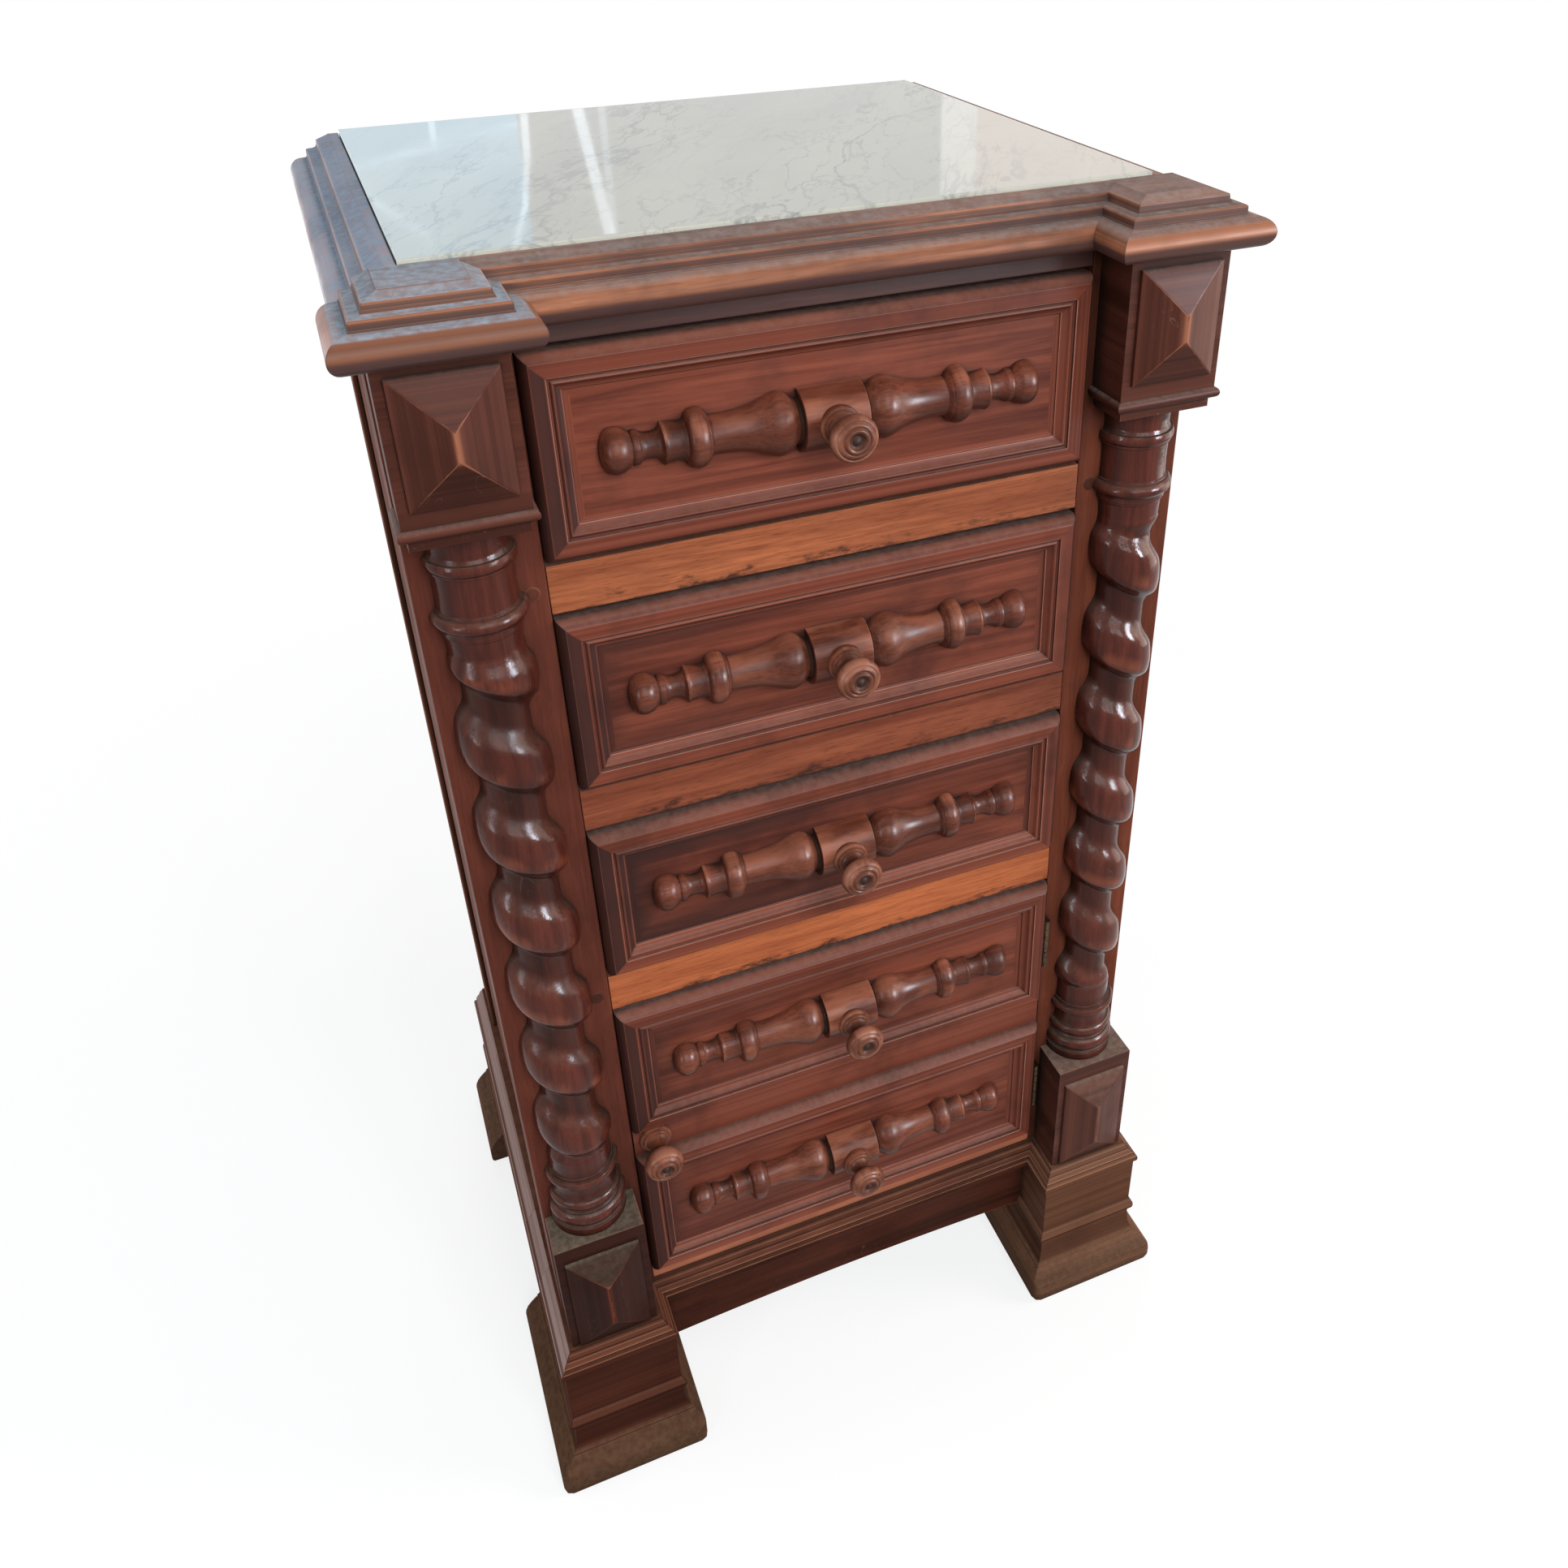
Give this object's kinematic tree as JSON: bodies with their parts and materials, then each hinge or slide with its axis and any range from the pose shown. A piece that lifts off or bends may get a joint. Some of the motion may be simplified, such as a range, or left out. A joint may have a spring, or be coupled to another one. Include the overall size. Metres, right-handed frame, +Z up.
{
  "type": "chest of drawers",
  "caption": "Narrow walnut cabinet with a marble top, drawers over a cupboard door with false drawer fronts, and twisted half columns at its front corners.",
  "frame": {"origin": "on the floor, under the middle of the whole box", "axes": "+Z up; the front faces -Y; +X is to the right of someone who faces the front"},
  "size_m": [0.5664, 0.4542, 1.004],
  "materials": {
    "marble": "polished white marble with grey veins",
    "walnut": "waxed red-brown walnut, worn lighter on the edges",
    "dark_walnut": "waxed dark walnut with dust in the hollows",
    "rail_wood": "waxed orange-brown walnut",
    "inner_wood": "bare secondary wood",
    "brass": "aged brass"
  },
  "bodies": {
    "carcass": {"marble_top": "marble", "corner_cap_right": "walnut", "corner_cap_left": "walnut", "cornice_front": "walnut", "cornice_right": "walnut", "cornice_left": "walnut", "capital_block_right": "dark_walnut", "capital_block_left": "dark_walnut", "pedestal_right": "dark_walnut", "pedestal_left": "dark_walnut", "column_right": "dark_walnut", "column_left": "dark_walnut", "front_post_right": "walnut", "front_post_left": "walnut", "rear_post_right": "walnut", "rear_post_left": "walnut", "side_panel_right": "walnut", "side_panel_left": "walnut", "back_panel": "inner_wood", "top_board": "rail_wood", "floor_board": "walnut", "divider_1": "rail_wood", "divider_2": "rail_wood", "divider_3": "rail_wood", "foot_front_right": "dark_walnut", "foot_front_left": "dark_walnut", "plinth_right": "dark_walnut", "plinth_left": "dark_walnut", "apron_front": "dark_walnut", "hinge_lower_post_leaf": "brass", "hinge_upper_post_leaf": "brass"},
    "drawer_1": {"drawer_1_front": "walnut", "drawer_1_side_right": "inner_wood", "drawer_1_side_left": "inner_wood", "drawer_1_back": "inner_wood", "drawer_1_bottom": "inner_wood", "spindle_drawer_1": "walnut", "knob_drawer_1": "rail_wood"},
    "drawer_2": {"drawer_2_front": "walnut", "drawer_2_side_right": "inner_wood", "drawer_2_side_left": "inner_wood", "drawer_2_back": "inner_wood", "drawer_2_bottom": "inner_wood", "spindle_drawer_2": "walnut", "knob_drawer_2": "rail_wood"},
    "drawer_3": {"drawer_3_front": "walnut", "drawer_3_side_right": "inner_wood", "drawer_3_side_left": "inner_wood", "drawer_3_back": "inner_wood", "drawer_3_bottom": "inner_wood", "spindle_drawer_3": "walnut", "knob_drawer_3": "rail_wood"},
    "door": {"door_leaf": "walnut", "spindle_door_lower": "walnut", "knob_door_lower": "dark_walnut", "spindle_door_upper": "walnut", "knob_door_upper": "dark_walnut", "knob_door_pull": "dark_walnut", "hinge_lower_door_leaf": "brass", "hinge_upper_door_leaf": "brass"}
  },
  "joints": [
    {"name": "drawer_1_slide", "type": "slide", "parent": "carcass", "child": "drawer_1", "axis": [0, -1, 0], "range_m": [0, 0.29]},
    {"name": "drawer_2_slide", "type": "slide", "parent": "carcass", "child": "drawer_2", "axis": [0, -1, 0], "range_m": [0, 0.29]},
    {"name": "drawer_3_slide", "type": "slide", "parent": "carcass", "child": "drawer_3", "axis": [0, -1, 0], "range_m": [0, 0.29]},
    {"name": "door_hinge", "type": "hinge", "parent": "carcass", "child": "door", "pos_m": [0.1775, -0.1669, 0.3123], "axis": [0, 0, 1], "range_deg": [0, 90]}
  ]
}
